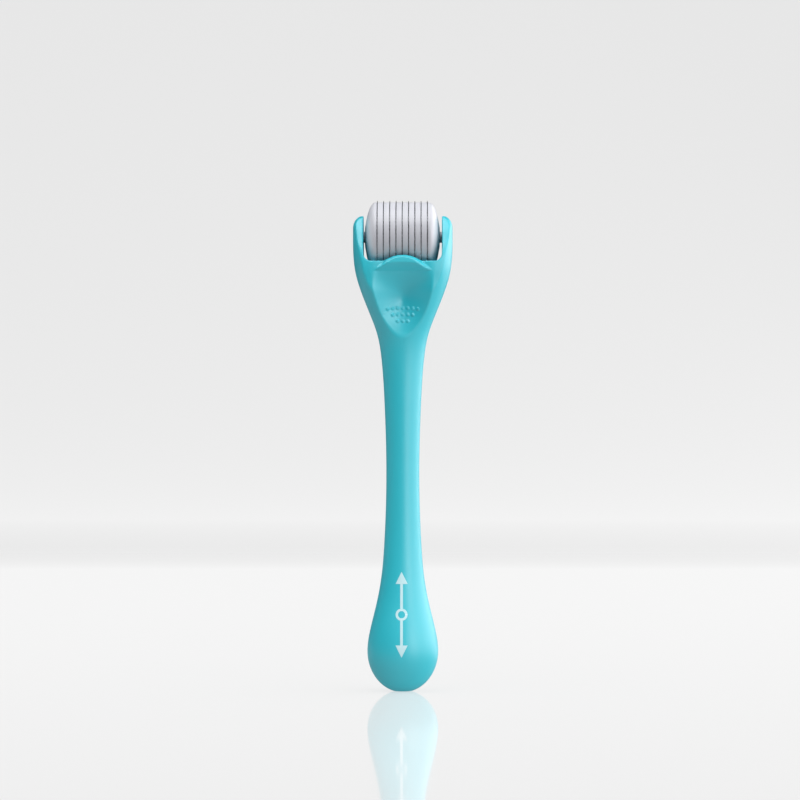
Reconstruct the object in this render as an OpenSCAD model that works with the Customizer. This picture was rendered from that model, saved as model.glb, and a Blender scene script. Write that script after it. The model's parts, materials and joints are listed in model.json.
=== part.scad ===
// Derma roller: a two-shell handle that carries a free-rolling drum of stacked needle discs.
// Origin at the centre of the flat foot. +Z runs up the handle, -Y is the thumb side, and the
// drum's axle lies along X.

/* [Drum] */
// Number of needle discs on the drum
disc_count = 9; // [8:1:9]
// Needles round each disc
needles_per_disc = 60; // [24:4:72]
// Length that each needle stands above the drum's surface
needle_len = 0.5; // [0.2:0.05:0.6]
// Radius of the drum's plastic surface
drum_r = 10; // [9:0.1:10.1]
// Distance from one disc to the next
disc_pitch = 1.78; // [1.7:0.01:1.8]
// Thickness of a needle disc
disc_t = 0.22; // [0.15:0.01:0.3]
// Radius of the keyed hub that the discs are threaded on
hub_r = 6.5; // [5:0.1:7]
// Width of the domed end of the drum, measured along the axle
flange_w = 3.42; // [3:0.01:3.5]
// Chamfer on the rims of the spacer rings
spacer_chamfer = 0.14; // [0.05:0.01:0.3]

/* [Axle] */
// Height of the axle above the foot
axle_z = 129.5; // [128:0.1:130]
// Diameter of the two journals
journal_d = 3.1; // [2.6:0.05:3.2]
// Radial clearance of a journal in its socket
journal_clearance = 0.05; // [0.03:0.01:0.08]
// Depth of each blind socket in its fork arm
socket_depth = 2.2; // [1.6:0.1:2.3]

/* [Handle] */
// Height of the handle to the tips of the fork arms
handle_h = 135.6; // [135:0.1:136.5]
// Wall thickness of the two shells
wall = 1.8; // [1.4:0.1:2.2]
// Gap between the drum's end faces and the fork arms
side_gap = 0.45; // [0.4:0.05:0.6]
// Gap between the needle tips and the pocket behind them
pocket_gap = 0.7; // [0.5:0.05:0.8]
// Height of the top edge of the web under the drum
web_z = 122.5; // [122:0.05:123.5]

/* [Thumb rest] */
// Height where the thumb rest's floor meets the brow
floor_top_z = 119.7; // [119.5:0.1:120.4]
// Height of the brow's crest on the centre line
brow_top_z = 124.35; // [124.2:0.05:125.2]
// Half the width of the brow
brow_half_w = 8.9; // [8.4:0.1:9.2]
// Width of the brow's rounded upper edge
brow_edge = 1.6; // [1:0.1:1.8]
// How far forward the brow's crest reaches: flat there, so that the roller lies steadily on it
brow_front = 11.15; // [11:0.05:11.5]

/* [Hidden] */

$fn = 96;
eps = 0.01;

stack_half = ((disc_count - 1) * disc_pitch + disc_t) / 2;
spacer_t = disc_pitch - disc_t;
hub_face_x = stack_half + flange_w;
fork_half = hub_face_x + side_gap;
needle_r = drum_r + needle_len;
pocket_r = needle_r + pocket_gap;
socket_r = journal_d / 2 + journal_clearance;
journal_end_x = fork_half + socket_depth - 0.3;
hub_fit = 0.02;
key_half = hub_r - 0.6;
spigot_r = 3.5;
spigot_len = 5;

// Handle stations from the bulb to the fork: height, half width, front depth, back depth.
stations = [
    [ 11.5, 10.1,  9.7,  9.7],
    [ 18.0,  9.2,  8.9,  8.8],
    [ 25.0,  7.5,  7.3,  7.2],
    [ 32.0,  6.2,  6.1,  6.0],
    [ 42.0,  5.3,  5.1,  5.0],
    [ 62.0,  4.7,  4.6,  4.5],
    [ 83.0,  5.25, 5.1,  4.9],
    [ 95.0,  6.1,  5.8,  5.5],
    [102.0,  7.35, 7.0,  6.2],
    [108.0,  9.55, 9.1,  6.9],
    [114.0, 11.9, 11.2,  7.5],
    [119.0, 13.4, 12.3,  7.8],
    [124.5, 14.1, 12.6,  7.9],
    [132.0, 14.2, 12.6,  7.9]];
bulb_z = 11.5;      // widest height of the bulb
bulb_drop = 11.8;   // half height of the ellipse that closes the bulb
tip_z = 132;        // height where the fork tips start to round off
tip_land = 0.25;    // flat left at the very tip, outside the fork gap
recede_z = 119;     // height where the front and back start to draw in towards the tips
recede_h = 17;      // height over which they would close

// Slope of column c at station i, from its neighbours.
function slope(i, c) =
    i == 0 ? 0
    : i == len(stations) - 1 ? 0
    : (stations[i + 1][c] - stations[i - 1][c]) / (stations[i + 1][0] - stations[i - 1][0]);

// Smooth cubic through the stations.
function hermite(i, c, z) =
    let (h = stations[i + 1][0] - stations[i][0], t = (z - stations[i][0]) / h)
    (2 * t^3 - 3 * t^2 + 1) * stations[i][c] + (t^3 - 2 * t^2 + t) * h * slope(i, c)
    + (3 * t^2 - 2 * t^3) * stations[i + 1][c] + (t^3 - t^2) * h * slope(i + 1, c);
function span_at(z) = len([for (s = stations) if (s[0] <= z) 1]) - 1;
function along(z, c) = hermite(max(0, min(span_at(z), len(stations) - 2)), c, min(z, tip_z));

// The bulb closes below its widest height as an ellipse, cut off flat at the foot.
function bulb(z) = z < bulb_z ? sqrt(1 - ((bulb_z - z) / bulb_drop)^2) : 1;
// The fork arms draw in towards their tips.
function recede(z) = z > recede_z ? sqrt(1 - ((z - recede_z) / recede_h)^2.6) : 1;
function tip_half(z) =
    let (land = fork_half + tip_land, reach = stations[len(stations) - 1][1] - land)
    land + reach * sqrt(max(0, 1 - ((z - tip_z) / (handle_h - tip_z))^2));

function half_w(z) = z > tip_z ? tip_half(z) : along(max(z, bulb_z), 1) * bulb(z);
function depth(z, side) = along(max(z, bulb_z), side) * bulb(z) * recede(z);
// Exponent of the section: nearly round on the handle, squarer at the fork.
function squareness(z) = 2.1 + 0.9 / (1 + exp(-(z - 109) / 3.2));

// Depth of an uncut section, x from its middle, at height z.
function blank(x, z, side) =
    let (n = squareness(z), u = min(1, abs(x) / half_w(z)))
    depth(z, side) * (1 - u^n)^(1 / n);

// Thumb rest stations: height, depth of the floor on the centre line, steepness of its sides,
// rounding of the valley between them.
rest = [
    [ 98.0,  7.6,  0,    1.5],
    [101.0,  6.85, 0.05, 1.5],
    [104.3,  6.3,  0.17, 1.5],
    [106.8,  5.75, 0.32, 1.5],
    [109.7,  5.2,  0.5,  1.5],
    [112.2,  5.15, 0.58, 1.5],
    [114.3,  5.8,  0.56, 2],
    [117.0,  7.35, 0.42, 4],
    [119.7,  8.9,  0.18, 5],
    [122.5,  9.2,  0.1,  5],
    [126.0,  8.6,  0.05, 5],
    [129.0,  7.3,  0,    5],
    [132.0,  5.7,  0,    5],
    [136.0,  3.4,  0,    5]];
function rest_at(z, c) = lookup(z, [for (r = rest) [r[0], r[c]]]);

// The front face: a bowl for the thumb, level shoulders outside it.
bowl_half_w = 8.4;
function face(x, z) =
    let (a = rest_at(z, 2), c = rest_at(z, 3), u = min(abs(x), bowl_half_w))
    rest_at(z, 1) + a * (sqrt(u^2 + c^2) - c) - 0.12 * (abs(x) - u);

// The brow over the thumb rest: an arched crest, a rounded upper edge and a wall that leans out
// from the floor up to it.
function crest_z(x) =
    floor_top_z + (brow_top_z - floor_top_z) * cos(90 * min(1, abs(x) / brow_half_w));
function smooth01(t) = let (u = max(0, min(1, t))) u * u * (3 - 2 * u);
function brow_share(x, z) =
    let (d = 0.6 * (1 - smooth01((abs(x) - 4.5) / 1.5)))
    smooth01((crest_z(x) - z + d) / (brow_edge + d));
function brow(x, z) =
    let (t = max(0, z - floor_top_z))
    max(0, face(x, floor_top_z) + 1.15 * t - 0.09 * t^2 - face(x, z)) * brow_share(x, z);

function front(x, z) =
    z < 98 ? blank(x, z, 2) : min(blank(x, z, 2), face(x, z) + brow(x, z), brow_front);
function back(x, z) = blank(x, z, 3);

// Heights of the rings that the handle is lofted through.
ring_z = concat(
    [0], [for (a = [24:13:76]) bulb_z - bulb_drop * cos(a)],
    [for (z = [11.5:5.4:98]) z], [for (z = [99.6:1.6:117.2]) z],
    [118.4, 119.3, floor_top_z], [for (z = [120.3:0.6:125.2]) z], [for (z = [126.4:1.8:131.9]) z],
    [for (a = [0:30:90]) tip_z + (handle_h - tip_z) * sin(a)]);

// Where a section's points lie across its half width, from 1 to -1, closer in the middle.
function spread(steps, n) =
    let (edge = [for (i = [0:steps / 2 - 1]) cos(180 * i / steps)^(2 / n)])
    concat(edge, [0.12, 0, -0.12], [for (i = [len(edge) - 1:-1:0]) -edge[i]]);

// One half of a section as points from the +X edge round to the -X edge.
function ring(z, inset, dir, steps) =
    let (n = squareness(z), w = half_w(z) - inset, side = dir < 0 ? 2 : 3)
    [for (u = spread(steps, n))
        let (d = (depth(z, side) - inset) * (1 - abs(u)^n)^(1 / n),
             cut = dir < 0 ? front(w * u, z) - inset : d)
        [w * u, dir * max(0, min(d, cut)), z]];

// Lofts half sections into a closed half body, flat on the joint plane. dir is -1 for the front
// half and 1 for the back half.
module half_loft(heights, inset, dir, steps) {
    rings = [for (z = heights) ring(z, inset, dir, steps)];
    m = len(rings[0]);
    last = len(heights) - 1;
    points = [for (r = rings) each r];
    sides = [for (k = [0:last - 1], i = [0:m - 2])
        each [[k * m + i, (k + 1) * m + i, k * m + i + 1],
              [k * m + i + 1, (k + 1) * m + i, (k + 1) * m + i + 1]]];
    joint = [for (k = [0:last - 1])
        each [[k * m, k * m + m - 1, (k + 1) * m],
              [k * m + m - 1, (k + 1) * m + m - 1, (k + 1) * m]]];
    caps = [[for (i = [0:m - 1]) i], [for (i = [m - 1:-1:0]) last * m + i]];
    faces = concat(sides, joint, caps);
    polyhedron(points, dir > 0 ? faces : [for (f = faces) [for (i = [len(f) - 1:-1:0]) f[i]]]);
}

// Hollow bays between the cross ribs of a shell.
rib_z = [30.7, 60.7, 88.7];
rib_t = 1.6;
bay_bottom = 3;
bay_top = 112.5;
module bays(dir) {
    starts = concat([bay_bottom], [for (z = rib_z) z + rib_t / 2]);
    ends = concat([for (z = rib_z) z - rib_t / 2], [bay_top]);
    for (b = [0:len(starts) - 1]) {
        steps = ceil((ends[b] - starts[b]) / 5);
        heights = [for (i = [0:steps]) starts[b] + (ends[b] - starts[b]) * i / steps];
        half_loft(heights, wall, dir, 12);
    }
}

// The opening between the fork arms. Its floor carries the brow's arch at the front.
corner_r = 2.2;
module fork_gap(arched) {
    half = fork_half;
    arch = arched ? [for (x = [-5.2:0.65:5.21]) [x, max(web_z, crest_z(x))]] : [];
    left = [for (a = [180:15:270]) [-half + corner_r + corner_r * cos(a),
                                    web_z + corner_r + corner_r * sin(a)]];
    right = [for (a = [270:15:360]) [half - corner_r + corner_r * cos(a),
                                     web_z + corner_r + corner_r * sin(a)]];
    rotate([90, 0, 0])
        linear_extrude(height = 40, center = true)
            polygon(concat([[-half, handle_h + 5]], left, arch, right, [[half, handle_h + 5]]));
}

// The round pocket that the drum turns in, with rounded ends. It is a touch narrower than the
// fork gap, so its ends stand a hair proud of the fork arms below the axle.
pocket_corner = 3;
pocket_half = fork_half - 0.1;
module drum_pocket() {
    corner = [for (a = [0:15:90]) [pocket_r - pocket_corner + pocket_corner * sin(a),
                                   pocket_half - pocket_corner + pocket_corner * cos(a)]];
    translate([0, 0, axle_z])
        rotate([0, 90, 0])
            rotate_extrude()
                polygon(concat([[0, pocket_half]], corner,
                               [for (i = [len(corner) - 1:-1:0]) [corner[i][0], -corner[i][1]]],
                               [[0, -pocket_half]]));
}

module axle_sockets() {
    for (s = [-1, 1])
        translate([s * (fork_half + (socket_depth - 1) / 2), 0, axle_z])
            rotate([0, 90, 0])
                cylinder(r = socket_r, h = socket_depth + 1, center = true);
}

pin_d = 2;
pin_len = 2;
boss_d = 4.4;
boss_len = 3.4;
module along_y(d, from, to) {
    translate([0, from, 0])
        rotate([from < to ? -90 : 90, 0, 0])
            cylinder(d = d, h = abs(to - from));
}

module handle_front_shell() {
    color("#5cc8dc")
        difference() {
            half_loft(ring_z, 0, -1, 26);
            difference() {
                bays(-1);
                for (z = rib_z) translate([0, 0, z]) along_y(boss_d, 0, -boss_len);
            }
            fork_gap(true);
            drum_pocket();
            axle_sockets();
            for (z = rib_z) translate([0, 0, z]) along_y(pin_d + 0.1, 1, -pin_len - 0.3);
        }
}

module handle_back_shell() {
    color("#5cc8dc")
        union() {
            difference() {
                half_loft(ring_z, 0, 1, 26);
                difference() {
                    bays(1);
                    for (z = rib_z) translate([0, 0, z]) along_y(boss_d, 0, boss_len);
                }
                fork_gap(false);
                drum_pocket();
                axle_sockets();
            }
            for (z = rib_z) translate([0, 0, z]) along_y(pin_d, boss_len / 2, -pin_len);
        }
}

// Keyed hub profile, grown by fit: a round bar with two flats.
module hub_bar(length, fit) {
    intersection() {
        cylinder(r = hub_r + fit, h = length, center = true);
        cube([2 * (key_half + fit), 4 * hub_r, length + 1], center = true);
    }
}

// Domed end with its journal, pointing up +Z from the face that clamps the stack.
module domed_end() {
    rim = 0.35;
    dome = [for (a = [0:9:72]) [drum_r * cos(a), rim + (flange_w - rim) * sin(a)]];
    rotate_extrude()
        polygon(concat([[0, 0], [drum_r, 0]], dome,
                       [[journal_d / 2 + 1, flange_w], [journal_d / 2, flange_w],
                        [journal_d / 2, journal_end_x - stack_half - 0.2],
                        [journal_d / 2 - 0.2, journal_end_x - stack_half],
                        [0, journal_end_x - stack_half]]));
}

module on_axle(x) {
    translate([x, 0, axle_z])
        rotate([0, 90, 0])
            children();
}

module drum_core() {
    color("#eceaf2")
        on_axle(0)
            difference() {
                union() {
                    hub_bar(2 * stack_half, 0);
                    translate([0, 0, -stack_half])
                        mirror([0, 0, 1])
                            domed_end();
                }
                translate([0, 0, stack_half - spigot_len - 0.5])
                    cylinder(r = spigot_r + hub_fit, h = spigot_len + 1);
            }
}

module drum_end_cap() {
    color("#eceaf2")
        on_axle(stack_half)
            union() {
                domed_end();
                translate([0, 0, -spigot_len])
                    cylinder(r = spigot_r, h = spigot_len + 1);
            }
}

// One stainless disc with its ring of needles.
root_r = drum_r - 0.15;
needle_half_angle = 0.75;
module needle_disc(i) {
    step = 360 / needles_per_disc;
    outline = [for (k = [0:needles_per_disc - 1])
        each [for (v = [[-needle_half_angle, root_r], [0, needle_r], [needle_half_angle, root_r],
                        [step / 2, root_r]])
            v[1] * [cos(k * step + v[0]), sin(k * step + v[0])]]];
    color("#b9bcc4")
        on_axle(-stack_half + disc_t / 2 + (i - 1) * disc_pitch)
            difference() {
                linear_extrude(height = disc_t, center = true)
                    polygon(outline);
                hub_bar(disc_t + 1, hub_fit);
            }
}

// One plastic ring that keeps two discs apart.
module spacer_ring(i) {
    half = spacer_t / 2;
    color("#eceaf2")
        on_axle(-stack_half + disc_t + half + (i - 1) * disc_pitch)
            difference() {
                rotate_extrude()
                    polygon([[0, -half], [drum_r - spacer_chamfer, -half],
                             [drum_r, -half + spacer_chamfer], [drum_r, half - spacer_chamfer],
                             [drum_r - spacer_chamfer, half], [0, half]]);
                hub_bar(spacer_t + 1, hub_fit);
            }
}

handle_front_shell();
handle_back_shell();
drum_core();
drum_end_cap();
for (i = [1:disc_count])
    needle_disc(i);
for (i = [1:disc_count - 1])
    spacer_ring(i);
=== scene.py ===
"""Looks of the derma roller: soft-touch aqua handle, white drum, fine steel needles."""

import json
import math

import bmesh
import bpy
import numpy as np
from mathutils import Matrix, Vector

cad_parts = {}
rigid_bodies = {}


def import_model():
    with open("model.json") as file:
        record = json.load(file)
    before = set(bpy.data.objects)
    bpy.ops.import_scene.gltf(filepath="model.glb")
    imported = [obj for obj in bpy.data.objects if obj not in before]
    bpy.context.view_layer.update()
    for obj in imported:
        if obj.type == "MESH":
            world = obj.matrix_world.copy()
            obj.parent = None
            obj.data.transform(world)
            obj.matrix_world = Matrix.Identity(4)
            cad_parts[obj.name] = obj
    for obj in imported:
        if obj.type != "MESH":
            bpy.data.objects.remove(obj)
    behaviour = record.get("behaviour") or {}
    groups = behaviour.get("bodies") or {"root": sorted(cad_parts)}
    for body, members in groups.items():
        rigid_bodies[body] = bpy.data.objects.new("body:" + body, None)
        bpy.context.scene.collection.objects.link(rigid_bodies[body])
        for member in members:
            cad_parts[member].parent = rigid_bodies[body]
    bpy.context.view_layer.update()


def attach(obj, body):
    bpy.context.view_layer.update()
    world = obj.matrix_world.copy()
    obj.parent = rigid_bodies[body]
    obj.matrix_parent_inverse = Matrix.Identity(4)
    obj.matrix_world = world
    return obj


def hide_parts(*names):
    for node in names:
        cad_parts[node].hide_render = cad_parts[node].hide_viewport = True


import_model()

MM = 0.001

# ---------------------------------------------------------------- sizes, in millimetres
AXLE_Z = 129.5
TIP_Z = 132         # where the fork's arms start to round off
TOP_Z = 135.6
TOP_HALF = 14.2     # half the width of the fork
BULB_Z = 11.5       # widest level of the bulb
BULB_DROP = 11.8
STACK_HALF = 7.23
DISC_PITCH = 1.78
DISC_T = 0.22
SPACER_T = DISC_PITCH - DISC_T
DRUM_R = 10.0
NEEDLE_R = 10.5
ROOT_R = 9.85
FLANGE_W = 3.42
FORK_HALF = 11.1
ARM_TOP = 0.25      # width left of an arm's inner edge at its very tip
POCKET_R = 11.2
SOCKET_R = 1.6
SOCKET_END = FORK_HALF + 2.2
JOURNAL_R = 1.55
JOURNAL_END = 13.0
DRUM_X = -0.12      # the drum rests a touch to the left in its end play
HUB_R = 6.5
KEY_HALF = 5.9
HUB_FIT = 0.02
SPIGOT_R = 3.5
BORE_DEPTH = 5.5
SPIGOT_LENGTH = 5
NEEDLES = 60
FACETS = 192        # steps round the turned drum parts

# Handle stations from the bulb to the fork: height, half width, front depth, back depth.
STATIONS = np.array([
    [11.5, 10.1, 9.7, 9.7], [18.0, 9.2, 8.9, 8.8], [25.0, 7.5, 7.3, 7.2],
    [32.0, 6.2, 6.1, 6.0], [42.0, 5.3, 5.1, 5.0], [62.0, 4.7, 4.6, 4.5],
    [83.0, 5.25, 5.1, 4.9], [95.0, 6.1, 5.8, 5.5], [102.0, 7.35, 7.0, 6.2],
    [108.0, 9.55, 9.1, 6.9], [114.0, 11.9, 11.2, 7.5], [119.0, 13.4, 12.3, 7.8],
    [124.5, 14.1, 12.6, 7.9], [132.0, 14.2, 12.6, 7.9]])
# Thumb rest stations: height, depth of the floor on the centre line, steepness of its sides,
# rounding of the valley between them.
REST = np.array([
    [98.0, 7.6, 0, 1.5], [101.0, 6.85, 0.05, 1.5], [104.3, 6.3, 0.17, 1.5],
    [106.8, 5.75, 0.32, 1.5], [109.7, 5.2, 0.5, 1.5], [112.2, 5.15, 0.58, 1.5],
    [114.3, 5.8, 0.56, 2], [117.0, 7.35, 0.42, 4], [119.7, 8.9, 0.18, 5], [122.5, 9.2, 0.1, 5],
    [126.0, 8.6, 0.05, 5], [129.0, 7.3, 0, 5], [132.0, 5.7, 0, 5], [136.0, 3.4, 0, 5]])
FLOOR_TOP = 119.7
BROW_TOP = 124.35
BROW_HALF = 8.9
BROW_EDGE = 1.6
BROW_FRONT = 11.15  # how far forward its flat crest reaches
BOWL_HALF = 8.4
WEB_Z = 122.5


def spline_slopes(heights, values):
    """Slopes at the stations of the twice-smooth cubic that is level at both ends."""
    n, h = len(values), np.diff(heights)
    rows, right = np.eye(n), np.zeros(n)
    for i in range(1, n - 1):
        rows[i, i - 1:i + 2] = h[i], 2 * (h[i - 1] + h[i]), h[i - 1]
        right[i] = 3 * (h[i] * (values[i] - values[i - 1]) / h[i - 1]
                        + h[i - 1] * (values[i + 1] - values[i]) / h[i])
    return np.linalg.solve(rows, right)


def curve(table, column):
    """Smooth curve through one column of a table of stations, as a function of the height."""
    heights, v = table[:, 0], table[:, column]
    m = spline_slopes(heights, v)
    fine = np.linspace(heights[0], heights[-1], 8001)
    i = np.clip(np.searchsorted(heights, fine, side="right") - 1, 0, len(heights) - 2)
    h = heights[i + 1] - heights[i]
    t = (fine - heights[i]) / h
    value = ((2 * t**3 - 3 * t**2 + 1) * v[i] + (t**3 - 2 * t**2 + t) * h * m[i]
             + (3 * t**2 - 2 * t**3) * v[i + 1] + (t**3 - t**2) * h * m[i + 1])

    def at(z):
        place = (np.clip(z, heights[0], heights[-1]) - heights[0]) * (8000 / np.ptp(heights))
        low = np.minimum(place.astype(int), 7999)
        return value[low] + (place - low) * (value[low + 1] - value[low])
    return at


width_at, front_at, back_at = (curve(STATIONS, c) for c in (1, 2, 3))
floor_at, side_at, round_at = (curve(REST, c) for c in (1, 2, 3))


def bulb(z):
    """Share of the full section left below the bulb's widest level."""
    return np.sqrt(np.clip(1 - (np.clip(BULB_Z - z, 0, None) / BULB_DROP)**2, 0.02, 1))


def recede(z):
    """Share of the full depth left towards the tips of the fork."""
    return np.sqrt(np.clip(1 - (np.clip(z - 119, 0, 16.9) / 17)**2.6, 0.01, 1))


def half_width(z):
    land = FORK_HALF + ARM_TOP
    rounding = np.sqrt(np.clip(1 - ((z - TIP_Z) / (TOP_Z - TIP_Z))**2, 0.0005, 1))
    return np.where(z > TIP_Z, land + (TOP_HALF - land) * rounding, width_at(z) * bulb(z))


def depth(z, curve_at):
    return curve_at(z) * bulb(z) * recede(z)


def squareness(z):
    """Exponent of the section: near round along the handle, squarer at the head."""
    return 2.1 + 0.9 / (1 + np.exp(-(z - 109) / 3.2))


def soft_max(a, b, k):
    """The larger of two values, rounded off where they are within k of each other."""
    return np.maximum(a, b) + np.clip(k - np.abs(a - b), 0, None)**2 / (4 * k)


def step(z, a, b):
    """Smooth rise from 0 at a to 1 at b."""
    t = np.clip((z - a) / (b - a), 0, 1)
    return t * t * (3 - 2 * t)


def crest_z(x):
    """Height of the brow's arched crest."""
    return FLOOR_TOP + (BROW_TOP - FLOOR_TOP) * np.cos(
        np.pi / 2 * np.clip(np.abs(x) / BROW_HALF, 0, 1))


def face_depth(x, z):
    """Depth of the uncut front face."""
    n, u = squareness(z), np.clip(np.abs(x) / half_width(z), 0, 0.995)
    return depth(z, front_at) * (1 - u**n)**(1 / n)


PIP_ROWS = ((109.2, 7), (107.4, 5), (105.55, 3))
PIP_PITCH = 1.42
PIP_R = 0.56
PIP_H = 0.3


def pips(x, z):
    """Height of the grip dots over the thumb rest, in rows that sag a little at the ends."""
    rise = 0.0
    for row_z, count in PIP_ROWS:
        for i in range(count):
            px = (i - (count - 1) / 2) * PIP_PITCH
            pz = row_z - 0.3 * (px / 4.35)**2
            rise = rise + PIP_H * np.clip(1 - ((x - px)**2 + (z - pz)**2) / PIP_R**2, 0, 1)
    return rise


def face(x, z):
    """Depth of the front face: a bowl for the thumb with level shoulders outside it."""
    a, c = side_at(z), round_at(z)
    side = a * (np.sqrt(x * x + c * c) - c)
    shoulder = a * (np.sqrt(BOWL_HALF**2 + c * c) - c) - 0.12 * (np.abs(x) - BOWL_HALF)
    return floor_at(z) - soft_max(-side, -shoulder, 0.3 + 0 * x)


def brow(x, z):
    """Height of the arched brow over the front face."""
    d = 0.6 * (1 - step(np.abs(x), 4.5, 6))
    share = step(crest_z(x) - z, -d, BROW_EDGE)
    t = z - FLOOR_TOP
    rise = face(x, np.array(FLOOR_TOP)) + 1.15 * t - 0.09 * t * t - face(x, z)
    return soft_max(rise, 0 * rise, 0.15) * share


def scoop_depth(x, z):
    """Depth of the front with its bowl, its brow and its grip dots."""
    plain = face(x, z) + np.where(z > FLOOR_TOP - 0.3, brow(x, z), 0)
    return pips(x, z) - soft_max(-plain, 0 * plain - BROW_FRONT, 0.1)


def blank(x, y, z):
    """Distance to the uncut handle."""
    n, w = squareness(z), half_width(z)
    d = np.where(y < 0, depth(z, front_at), depth(z, back_at))
    a, b = np.abs(x) / w, np.abs(y) / d
    s = np.maximum(a**n + b**n, 1e-6)
    g = s**(1 / n)
    slope = g / s * np.sqrt((a**(n - 1) / w)**2 + (b**(n - 1) / d)**2)
    flare = (half_width(z + 0.02) - half_width(z - 0.02)) / 0.04
    return (g - 1) / np.maximum(slope, 0.02) / np.sqrt(1 + flare**2)


def thumb_cut(x, y, z):
    """Distance to the front limit that the thumb rest sets."""
    r, e = scoop_depth(x, z), 0.03
    rx = (scoop_depth(x + e, z) - scoop_depth(x - e, z)) / (2 * e)
    rz = (scoop_depth(x, z + e) - scoop_depth(x, z - e)) / (2 * e)
    return (-y - r) / np.sqrt(1 + rx**2 + rz**2)


def rounded_box(u, v, r):
    """Distance to a corner region u < 0, v < 0 whose corner has radius r."""
    return np.minimum(np.maximum(u, v) + r, 0) + np.hypot(
        np.maximum(u + r, 0), np.maximum(v + r, 0)) - r


def fork_gap(x, z):
    """Distance to the opening between the arms, whose floor carries the brow's arch."""
    base = soft_max(crest_z(x), WEB_Z + 0 * x, 0.4)
    lean = (crest_z(np.abs(x) + 0.05) - crest_z(np.abs(x) - 0.05)) / 0.1 * (np.abs(x) < 5.2)
    return rounded_box(np.abs(x) - FORK_HALF, (base - z) / np.sqrt(1 + lean**2), 2.2)


def handle_field(x, y, z):
    """Signed distance to the whole handle, negative inside."""
    f = blank(x, y, z)
    if np.max(z) < 97:
        return soft_max(f, -z, 0.3)
    f = soft_max(f, thumb_cut(x, y, z), 0.35)
    edge = 0.3 + 0.4 * step(z, 124.5, 127.5)
    f = soft_max(f, -fork_gap(x, z), edge)
    r = np.hypot(y, z - AXLE_Z)
    f = soft_max(f, -rounded_box(np.abs(x) - FORK_HALF, r - POCKET_R, 3), 0.3)
    socket = np.maximum(r - SOCKET_R, np.abs(x) - SOCKET_END)
    f = soft_max(f, -socket, 0.2)
    return soft_max(soft_max(f, -z, 0.3), z - TOP_Z, 0.2)


# ---------------------------------------------------------------- meshing the handle
def surface_net(axes, values):
    """Closed quad mesh through the zero level of values on a rectilinear grid."""
    inside = values < 0
    cells = [len(a) - 1 for a in axes]
    quads, crossings = [], []
    for a in range(3):
        b, c = (a + 1) % 3, (a + 2) % 3
        low = tuple(slice(0, -1) if d == a else slice(None) for d in range(3))
        high = tuple(slice(1, None) if d == a else slice(None) for d in range(3))
        at = np.argwhere(inside[low] != inside[high])
        up = at.copy()
        up[:, a] += 1
        f0, f1 = values[tuple(at.T)], values[tuple(up.T)]
        point = np.stack([axes[d][at[:, d]] for d in range(3)], axis=1).astype(float)
        point[:, a] += f0 / (f0 - f1) * (axes[a][up[:, a]] - axes[a][at[:, a]])
        ring = []
        for db, dc in ((1, 1), (0, 1), (0, 0), (1, 0)):
            cell = at.copy()
            cell[:, b] -= db
            cell[:, c] -= dc
            ring.append((cell[:, 0] * cells[1] + cell[:, 1]) * cells[2] + cell[:, 2])
        ring = np.stack(ring, axis=1)
        out = f0 > 0
        ring[out] = ring[out][:, ::-1]
        quads.append(ring)
        crossings.append(point)
    quads, crossings = np.concatenate(quads), np.concatenate(crossings)
    flat = np.unique(quads.ravel(), return_inverse=True)[1].ravel()
    count = np.bincount(flat)
    verts = np.stack([np.bincount(flat, np.repeat(crossings[:, d], 4)) / count
                      for d in range(3)], axis=1)
    return verts, flat.reshape(-1, 4)


def relax(verts, quads):
    """Each vertex moves towards the mean of its neighbours."""
    a = np.concatenate([quads[:, i] for i in range(4)])
    b = np.concatenate([quads[:, (i + 1) % 4] for i in range(4)])
    count = np.bincount(a, minlength=len(verts)) + np.bincount(b, minlength=len(verts))
    mean = np.stack([(np.bincount(a, verts[b, d], len(verts))
                      + np.bincount(b, verts[a, d], len(verts))) / count
                     for d in range(3)], axis=1)
    return verts + 0.7 * (mean - verts)


def project(verts, rounds):
    """Moves the vertices on to the surface of the handle, a band of heights at a time."""
    out = verts.copy()
    band = np.digitize(verts[:, 2], (96.5, 108, 114, 122, 129))
    for i in np.unique(band):
        out[band == i] = project_band(verts[band == i], handle_field, rounds)
    return out


def project_band(verts, field, rounds):
    """Newton steps along the field's gradient, none longer than 0.15 mm."""
    e = 0.01
    for _ in range(rounds):
        x, y, z = verts.T
        f = field(x, y, z)
        g = np.stack([field(x + e, y, z) - field(x - e, y, z),
                      field(x, y + e, z) - field(x, y - e, z),
                      field(x, y, z + e) - field(x, y, z - e)], axis=1) / (2 * e)
        move = (f / np.maximum((g * g).sum(axis=1), 0.05))[:, None] * g
        size = np.linalg.norm(move, axis=1, keepdims=True)
        verts = verts - move * np.minimum(1, 0.15 / np.maximum(size, 1e-9))
    return verts


def lines(*runs):
    """Grid lines: (start, end, spacing) runs laid end to end."""
    out = [np.linspace(a, b, max(1, round((b - a) / s)), endpoint=False) for a, b, s in runs]
    return np.concatenate(out + [[runs[-1][1]]])


def handle_mesh():
    """Vertices and quads of the whole handle, closest where the thumb rest and the brow are."""
    coarse = 1.0
    xs = lines((-14.5, 14.5, 0.17 * coarse))
    ys = lines((-11.9, 10.1, 0.2 * coarse))
    zs = lines((-0.3, 6, 0.25 * coarse), (6, 97, 0.65 * coarse), (97, 104.7, 0.3 * coarse),
               (104.7, 110, 0.17 * coarse), (110, 135.9, 0.2 * coarse))
    values = np.concatenate(
        [handle_field(xs[:, None, None], ys[None, :, None], zs[None, None, i:i + 16])
         for i in range(0, len(zs), 16)], axis=2)
    verts, quads = surface_net((xs, ys, zs), values)
    verts = project(verts, 2)
    for _ in range(3):
        verts = project(relax(verts, quads), 2)
    return verts, quads


def new_object(name, mesh):
    obj = bpy.data.objects.new(name, mesh)
    bpy.context.scene.collection.objects.link(obj)
    return obj


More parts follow.
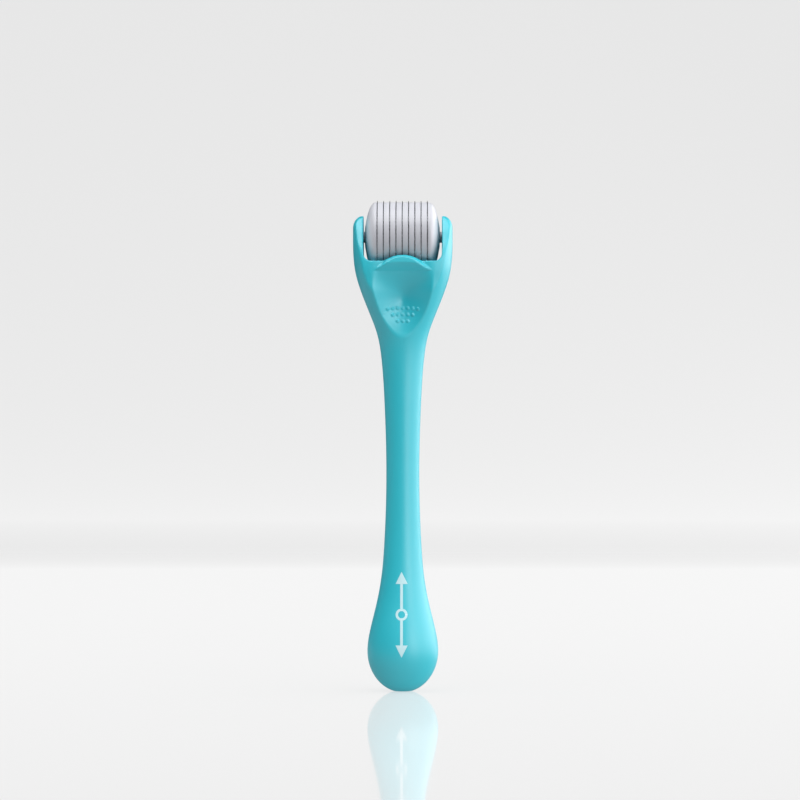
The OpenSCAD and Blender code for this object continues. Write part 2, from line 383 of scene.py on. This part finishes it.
def half_shell(name, verts, quads, side):
    """The half of the handle on one side of the joint plane, with a hairline at the joint."""
    y = verts[:, 1] * side
    keep = (y[quads] > -1.0).any(axis=1)
    used, flat = np.unique(quads[keep].ravel(), return_inverse=True)
    mesh = bpy.data.meshes.new(name)
    mesh.from_pydata(verts[used].tolist(), [], flat.reshape(-1, 4).tolist())
    bm = bmesh.new()
    bm.from_mesh(mesh)
    bmesh.ops.bisect_plane(bm, geom=bm.verts[:] + bm.edges[:] + bm.faces[:], dist=0.02,
                           plane_co=(0, 0, 0), plane_no=(0, -side, 0), clear_outer=True)
    rim = [e for e in bm.edges if e.is_boundary]
    bm.normal_update()
    for v in {v for e in rim for v in e.verts}:
        out = Vector((v.normal.x, 0, v.normal.z))
        if out.length > 0.1:
            v.co -= out.normalized() * 0.05
        v.co.y = 0
    bmesh.ops.triangle_fill(bm, use_beauty=True, use_dissolve=False, edges=rim)
    for e in rim:
        e.smooth = False
    bmesh.ops.recalc_face_normals(bm, faces=bm.faces[:])
    for f in bm.faces:
        f.smooth = True
    bmesh.ops.scale(bm, vec=(MM, MM, MM), verts=bm.verts[:])
    bm.to_mesh(mesh)
    bm.free()
    return new_object(name, mesh)


# ---------------------------------------------------------------- turned parts
def keyed(radius, half):
    """Radius of a round bar with two flats, at each angle."""
    return lambda a: min(radius, half / max(abs(math.cos(a)), 1e-6))


def turned(bm, profile, steps, closed_ring=False):
    """Turns a profile of (x, radius) about the axle. A radius may be a function of the angle."""
    rings = []
    for i in range(steps):
        a = 2 * math.pi * i / steps
        ring = []
        for x, r in profile:
            rr = r(a) if callable(r) else r
            ring.append((x, rr * math.cos(a), rr * math.sin(a)))
        rings.append(ring)
    ends = {}
    verts = []
    for ring in rings:
        row = []
        for j, p in enumerate(ring):
            if not callable(profile[j][1]) and profile[j][1] == 0:
                if j not in ends:
                    ends[j] = bm.verts.new(p)
                row.append(ends[j])
            else:
                row.append(bm.verts.new(p))
        verts.append(row)
    n = len(profile)
    for i in range(steps):
        here, there = verts[i], verts[(i + 1) % steps]
        for j in range(n if closed_ring else n - 1):
            k = (j + 1) % n
            corner = [here[j], there[j], there[k], here[k]]
            unique = list(dict.fromkeys(corner))
            if len(unique) > 2:
                bm.faces.new(unique)


def finish_mesh(name, bm, offset=(DRUM_X, 0, AXLE_Z), sharp=32):
    """Moves a part to its place, smooths all but its sharp edges and makes it an object."""
    bmesh.ops.recalc_face_normals(bm, faces=bm.faces[:])
    bmesh.ops.translate(bm, vec=offset, verts=bm.verts[:])
    bmesh.ops.scale(bm, vec=(MM, MM, MM), verts=bm.verts[:])
    for f in bm.faces:
        f.smooth = True
    mesh = bpy.data.meshes.new(name)
    bm.to_mesh(mesh)
    bm.free()
    mesh.set_sharp_from_angle(angle=math.radians(sharp))
    return new_object(name, mesh)


def arc(cx, cr, rx, rr, a0, a1, count):
    """Points on an elliptic arc round (cx, cr), from angle a0 to a1 off the upright."""
    angles = [math.radians(a0 + (a1 - a0) * i / count) for i in range(count + 1)]
    return [(cx + rx * math.sin(a), cr + rr * math.cos(a)) for a in angles]


def dome_profile():
    """From the clamping face at the rim, over the domed end, to the tip of the journal."""
    rim = 0.35
    dome = arc(STACK_HALF + rim, 0, FLANGE_W - rim, DRUM_R, 0, 66, 22)
    neck = JOURNAL_R + 1
    face = STACK_HALF + FLANGE_W
    return ([(STACK_HALF, DRUM_R - 0.14), (STACK_HALF + 0.05, DRUM_R - 0.04),
             (STACK_HALF + 0.14, DRUM_R)] + dome
            + [(face - 0.06, neck + 0.5), (face, neck), (face, JOURNAL_R + 0.1),
               (face + 0.1, JOURNAL_R), (JOURNAL_END - 0.2, JOURNAL_R),
               (JOURNAL_END, JOURNAL_R - 0.2), (JOURNAL_END, 0)])


def drum_core():
    bm = bmesh.new()
    hub = keyed(HUB_R, KEY_HALF)
    bore = SPIGOT_R + HUB_FIT
    floor = STACK_HALF - BORE_DEPTH
    left = [(-x, r) for x, r in reversed(dome_profile())]
    turned(bm, left + [(-STACK_HALF, hub), (STACK_HALF, hub), (STACK_HALF, bore),
                       (floor, bore), (floor, 0)], FACETS)
    return finish_mesh("drum_body", bm)


def drum_cap():
    bm = bmesh.new()
    end = STACK_HALF - SPIGOT_LENGTH
    turned(bm, [(end, 0), (end, SPIGOT_R - 0.1), (end + 0.1, SPIGOT_R),
                (STACK_HALF, SPIGOT_R)] + dome_profile(), FACETS)
    return finish_mesh("drum_cap", bm)


def spacer(i):
    x = -STACK_HALF + DISC_T + SPACER_T / 2 + (i - 1) * DISC_PITCH
    h, r, c = SPACER_T / 2, DRUM_R, 0.14
    edge = arc(h - c, r - c, c, c, 0, 90, 4)
    outer = [(x - a, b) for a, b in reversed(edge)] + [(x + a, b) for a, b in edge]
    hub = keyed(HUB_R + HUB_FIT, KEY_HALF + HUB_FIT)
    bm = bmesh.new()
    turned(bm, outer + [(x + h, hub), (x - h, hub)], FACETS, closed_ring=True)
    return finish_mesh(f"spacer_{i}", bm)


def needle_disc(i):
    x, h = -STACK_HALF + DISC_T / 2 + (i - 1) * DISC_PITCH, DISC_T / 2
    hub = keyed(HUB_R + HUB_FIT, KEY_HALF + HUB_FIT)
    bm = bmesh.new()
    turned(bm, [(x - h, ROOT_R - 0.03), (x - h + 0.03, ROOT_R), (x + h - 0.03, ROOT_R),
                (x + h, ROOT_R - 0.03), (x + h, hub), (x - h, hub)], 180, closed_ring=True)
    # radius, half width across, half thickness
    shape = [(ROOT_R - 0.08, 0.15, h), (ROOT_R + 0.1, 0.105, h), (NEEDLE_R - 0.2, 0.045, 0.07),
             (NEEDLE_R, 0.006, 0.008)]
    for k in range(NEEDLES):
        a = 2 * math.pi * k / NEEDLES
        ca, sa = math.cos(a), math.sin(a)
        rings = []
        for r, w, t in shape:
            rings.append([bm.verts.new((x + sx * t, r * ca - sw * w * sa, r * sa + sw * w * ca))
                          for sx, sw in ((-1, -1), (1, -1), (1, 1), (-1, 1))])
        bm.faces.new(rings[0][::-1])
        bm.faces.new(rings[-1])
        for lo, hi in zip(rings, rings[1:]):
            for j in range(4):
                bm.faces.new((lo[j], lo[(j + 1) % 4], hi[(j + 1) % 4], hi[j]))
    return finish_mesh(f"needles_{i}", bm)


# ---------------------------------------------------------------- printed mark
def printed_mark():
    """A plain rolling-direction mark on the bulb: a slim two-headed arrow with a ring."""
    bm = bmesh.new()

    def layer(outline, rows, lift):
        """Rows of vertices across a strip, at a height over the handle's surface."""
        out = []
        for a, b in outline:
            row = []
            for t in range(rows + 1):
                x, z = a[0] + (b[0] - a[0]) * t / rows, a[1] + (b[1] - a[1]) * t / rows
                row.append(bm.verts.new((x, -float(face_depth(np.array(x), np.array(z))) - lift, z)))
            out.append(row)
        return out

    def patch(outline, rows):
        """A strip given by pairs of edge points, laid on the surface and closed below."""
        top, low = layer(outline, rows, 0.03), layer(outline, rows, -0.05)
        n = len(outline)
        for i in range(n - 1):
            for t in range(rows):
                bm.faces.new((top[i][t], top[i][t + 1], top[i + 1][t + 1], top[i + 1][t]))
                bm.faces.new((low[i][t], low[i + 1][t], low[i + 1][t + 1], low[i][t + 1]))
            bm.faces.new((top[i][0], top[i + 1][0], low[i + 1][0], low[i][0]))
            bm.faces.new((top[i + 1][rows], top[i][rows], low[i][rows], low[i + 1][rows]))
        for i, flip in ((0, False), (n - 1, True)):
            for t in range(rows):
                f = (top[i][t], low[i][t], low[i][t + 1], top[i][t + 1])
                bm.faces.new(f[::-1] if flip else f)

    cx, mid, half = -0.3, 22.3, 0.38
    ring_in, ring_out, shaft_end, head_end, head_half = 1.0, 1.7, 8.6, 12.0, 1.7
    for s in (-1, 1):
        zs = np.linspace(mid + s * ring_out * 0.96, mid + s * shaft_end, 14)
        patch([((cx - half, z), (cx + half, z)) for z in zs], 2)
        head = []
        for z in np.linspace(shaft_end, head_end, 8):
            reach = head_half * (head_end - z) / (head_end - shaft_end)
            head.append(((cx - reach - 0.02, mid + s * z), (cx + reach + 0.02, mid + s * z)))
        patch(head, 4)
    ring = [2 * math.pi * i / 48 for i in range(49)]
    patch([((cx + ring_in * math.cos(a), mid + ring_in * math.sin(a)),
            (cx + ring_out * math.cos(a), mid + ring_out * math.sin(a))) for a in ring], 2)
    bmesh.ops.remove_doubles(bm, verts=bm.verts[:], dist=0.0005)
    return finish_mesh("direction_mark", bm, (0, 0, 0))


# ---------------------------------------------------------------- materials
def material(name, colour, roughness, grain=None, **inputs):
    """Principled material. grain gives the surface its fine texture: (tone change, roughness
    change, stretch of the pattern along X Y Z, size of the coarse mottle and of the fine
    grain in metres, height of the grain in metres)."""
    mat = bpy.data.materials.new(name)
    mat.use_nodes = True
    nodes, links = mat.node_tree.nodes, mat.node_tree.links
    shader = nodes["Principled BSDF"]
    shader.inputs["Base Color"].default_value = (*colour, 1)
    shader.inputs["Roughness"].default_value = roughness
    for key, value in inputs.items():
        shader.inputs[key.replace("_", " ")].default_value = value
    if grain is None:
        return mat
    tone, rough, stretch, coarse, fine, height = grain
    place = nodes.new("ShaderNodeTexCoord")
    scale = nodes.new("ShaderNodeMapping")
    scale.inputs["Scale"].default_value = stretch
    links.new(place.outputs["Object"], scale.inputs["Vector"])

    def noise(size, detail):
        node = nodes.new("ShaderNodeTexNoise")
        node.inputs["Scale"].default_value = 1 / size
        node.inputs["Detail"].default_value = detail
        links.new(scale.outputs["Vector"], node.inputs["Vector"])
        return node.outputs["Fac"]

    mottle, pitted = noise(coarse, 3), noise(fine, 2)
    ramp = nodes.new("ShaderNodeMix")
    ramp.data_type = "RGBA"
    ramp.inputs["A"].default_value = (*(c * (1 - tone) for c in colour), 1)
    ramp.inputs["B"].default_value = (*(min(1, c * (1 + tone)) for c in colour), 1)
    links.new(mottle, ramp.inputs["Factor"])
    links.new(ramp.outputs["Result"], shader.inputs["Base Color"])
    band = nodes.new("ShaderNodeMapRange")
    band.inputs["To Min"].default_value = roughness - rough
    band.inputs["To Max"].default_value = roughness + rough
    links.new(pitted, band.inputs["Value"])
    links.new(band.outputs["Result"], shader.inputs["Roughness"])
    bump = nodes.new("ShaderNodeBump")
    bump.inputs["Strength"].default_value = 1
    bump.inputs["Distance"].default_value = height
    links.new(pitted, bump.inputs["Height"])
    links.new(bump.outputs["Normal"], shader.inputs["Normal"])
    return mat


EVEN = (1, 1, 1)
aqua = material("soft_touch_aqua", (0.010, 0.52, 0.63), 0.42,
                (0.02, 0.03, EVEN, 0.012, 0.00035, 4e-6), Specular_IOR_Level=0.9, IOR=1.6)
white = material("white_plastic", (0.74, 0.75, 0.81), 0.35,
                 (0.01, 0.03, EVEN, 0.006, 0.0003, 1e-6), Specular_IOR_Level=0.5)
# Needle steel with its base colour darker than bare steel: partly the steel's own tone, partly
# painted shade for the grooves between the spacers where the needles sit.
steel = material("needle_steel_painted_shade", (0.32, 0.33, 0.35), 0.3,
                 (0.08, 0.06, (6, 1, 1), 0.001, 0.00015, 1e-6), Metallic=1.0)
ink = material("pale_ink", (0.55, 0.80, 0.85), 0.5, (0.02, 0.03, EVEN, 0.002, 0.00025, 1e-6))


def dress(obj, mat, body, slot, *nodes):
    """Gives a piece its material and the body it moves with, and hides the CAD nodes it replaces.
    The slot is not used.
    """
    obj.data.materials.append(mat)
    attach(obj, body)
    if nodes:
        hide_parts(*nodes)
    return obj


verts, quads = handle_mesh()
for shell, side in (("front_shell", -1), ("back_shell", 1)):
    dress(half_shell(shell, verts, quads, side), aqua, "handle", "handle", f"handle_{shell}")
drum_objects = [dress(drum_core(), white, "drum", "drum", "drum_core"),
                dress(drum_cap(), white, "drum", "drum", "drum_end_cap")]
drum_objects += [dress(spacer(i), white, "drum", "drum", f"spacer_ring_{i}")
                 for i in range(1, 9)]
drum_objects += [dress(needle_disc(i), steel, "drum", "needles", f"needle_disc_{i}")
                 for i in range(1, 10)]
mark = printed_mark()
mark.data.materials.append(ink)
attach(mark, "handle")

# ---------------------------------------------------------------- stage, lights, camera
STAGE_HALF = 3.5        # metres, as all of the stage is
STAGE_FRONT = -0.32
WALL_Y = 1.6
WALL_TOP = 3.0
BEND_R = 0.9
MIRROR_LIFT = 0.001


def sweep(name, line, lift=0.0):
    """A wide sheet along a line of (y, z) points, with its normals up and to the front."""
    bm = bmesh.new()
    rows = [[bm.verts.new((x, y - lift, z + lift)) for x in (-STAGE_HALF, STAGE_HALF)]
            for y, z in line]
    for a, b in zip(rows, rows[1:]):
        bm.faces.new((a[0], a[1], b[1], b[0]))
    for f in bm.faces:
        f.smooth = True
    mesh = bpy.data.meshes.new(name)
    bm.to_mesh(mesh)
    bm.free()
    return new_object(name, mesh)


def cyclorama():
    """A floor that sweeps up into the wall behind, and the wall's glow as the floor mirrors it."""
    wall = [(WALL_Y - BEND_R + BEND_R * math.sin(a), BEND_R - BEND_R * math.cos(a))
            for a in np.linspace(0, math.pi / 2, 25)] + [(WALL_Y, WALL_TOP)]
    floor = sweep("studio_floor", [(STAGE_FRONT, 0.0)] + wall)
    white_floor = material("studio_white", (0.13, 0.13, 0.13), 0.06, IOR=1.1,
                           Specular_IOR_Level=0.5, Emission_Color=(1, 1, 1, 1))
    # The glow is stronger where the sweep stands up and mirrors less, and it shows up less in
    # the gloss of the object.
    nodes, links = white_floor.node_tree.nodes, white_floor.node_tree.links
    place, axes = nodes.new("ShaderNodeTexCoord"), nodes.new("ShaderNodeSeparateXYZ")
    rise, glow = nodes.new("ShaderNodeMapRange"), nodes.new("ShaderNodeMix")
    rise.inputs["From Min"].default_value = 0.98
    rise.inputs["To Min"].default_value = 0.72
    rise.inputs["To Max"].default_value = 0.56
    glow.inputs["B"].default_value = 0.2
    links.new(place.outputs["Normal"], axes.inputs["Vector"])
    links.new(axes.outputs["Z"], rise.inputs["Value"])
    links.new(rise.outputs["Result"], glow.inputs["A"])
    links.new(nodes.new("ShaderNodeLightPath").outputs["Is Glossy Ray"], glow.inputs["Factor"])
    links.new(glow.outputs["Result"], nodes["Principled BSDF"].inputs["Emission Strength"])
    floor.data.materials.append(white_floor)

    mirrored = sweep("studio_wall_glow", wall, lift=MIRROR_LIFT)
    white_glow = material("studio_glow", (0, 0, 0), 1.0, Specular_IOR_Level=0.0,
                          Emission_Color=(1, 1, 1, 1), Emission_Strength=0.56)
    mirrored.data.materials.append(white_glow)
    mirrored.visible_camera = mirrored.visible_diffuse = mirrored.visible_shadow = False
    mirrored.visible_transmission = mirrored.visible_volume_scatter = False
    only_floor = bpy.data.collections.new("studio_floor_only")
    only_floor.objects.link(floor)
    mirrored.light_linking.receiver_collection = only_floor


LIGHT_AIM = Vector((0, 0, 0.08))
LIGHT_AWAY = 1.1


def softbox(name, azimuth, elevation, width, height, radiance, keep_off_drum=False):
    """A soft area light aimed at the middle of the object."""
    a, e = math.radians(azimuth), math.radians(elevation)
    away = Vector((math.sin(a) * math.cos(e), -math.cos(a) * math.cos(e), math.sin(e)))
    light = bpy.data.lights.new(name, "AREA")
    light.shape = "RECTANGLE"
    light.size, light.size_y = width, height
    light.energy = radiance * math.pi * width * height
    obj = new_object(name, light)
    obj.location = LIGHT_AIM + LIGHT_AWAY * away
    obj.rotation_mode = "QUATERNION"
    obj.rotation_quaternion = (-away).to_track_quat("-Z", "Y")
    obj.visible_camera = False
    if keep_off_drum:
        lit = bpy.data.collections.new(name + "_lights")
        for other in bpy.context.scene.objects:
            if other.type == "MESH" and not other.hide_render and other not in drum_objects:
                lit.objects.link(other)
        obj.light_linking.receiver_collection = lit


cyclorama()
softbox("front_right", 30, 10, 0.7, 0.6, 3.2, keep_off_drum=True)
softbox("right", 85, 10, 1.2, 0.75, 2.35)
softbox("right_rear", 132, 10, 0.9, 0.7, 2.6)
softbox("right_high", 75, 46, 1.4, 0.6, 0.9)
softbox("left_high", -60, 58, 1.3, 0.8, 1.7)
softbox("overhead", 0, 74, 1.2, 0.8, 2.6)

world = bpy.data.worlds.new("studio")
world.use_nodes = True
world.node_tree.nodes["Background"].inputs["Color"].default_value = (1, 1, 1, 1)
world.node_tree.nodes["Background"].inputs["Strength"].default_value = 0.05
bpy.context.scene.world = world
bpy.context.scene.view_settings.view_transform = "Standard"

CAMERA_AWAY = 0.97
VIEW_HALF = 0.1142      # metres from the middle of the view to its edge, at the object
CAMERA_AZIMUTH = math.radians(0.4)
CAMERA_AIM = Vector((-0.0008, 0, 0.0831))

camera_data = bpy.data.cameras.new("camera")
camera_data.sensor_width = 36
camera_data.lens = 18 / math.tan(math.atan(VIEW_HALF / CAMERA_AWAY))
camera_data.clip_start = 0.01
camera = bpy.data.objects.new("camera", camera_data)
bpy.context.scene.collection.objects.link(camera)
back = Vector((math.sin(CAMERA_AZIMUTH), -math.cos(CAMERA_AZIMUTH), 0))
camera.location = CAMERA_AIM + back * CAMERA_AWAY
camera.rotation_mode = "QUATERNION"
camera.rotation_quaternion = (-back).to_track_quat("-Z", "Y")
bpy.context.scene.camera = camera
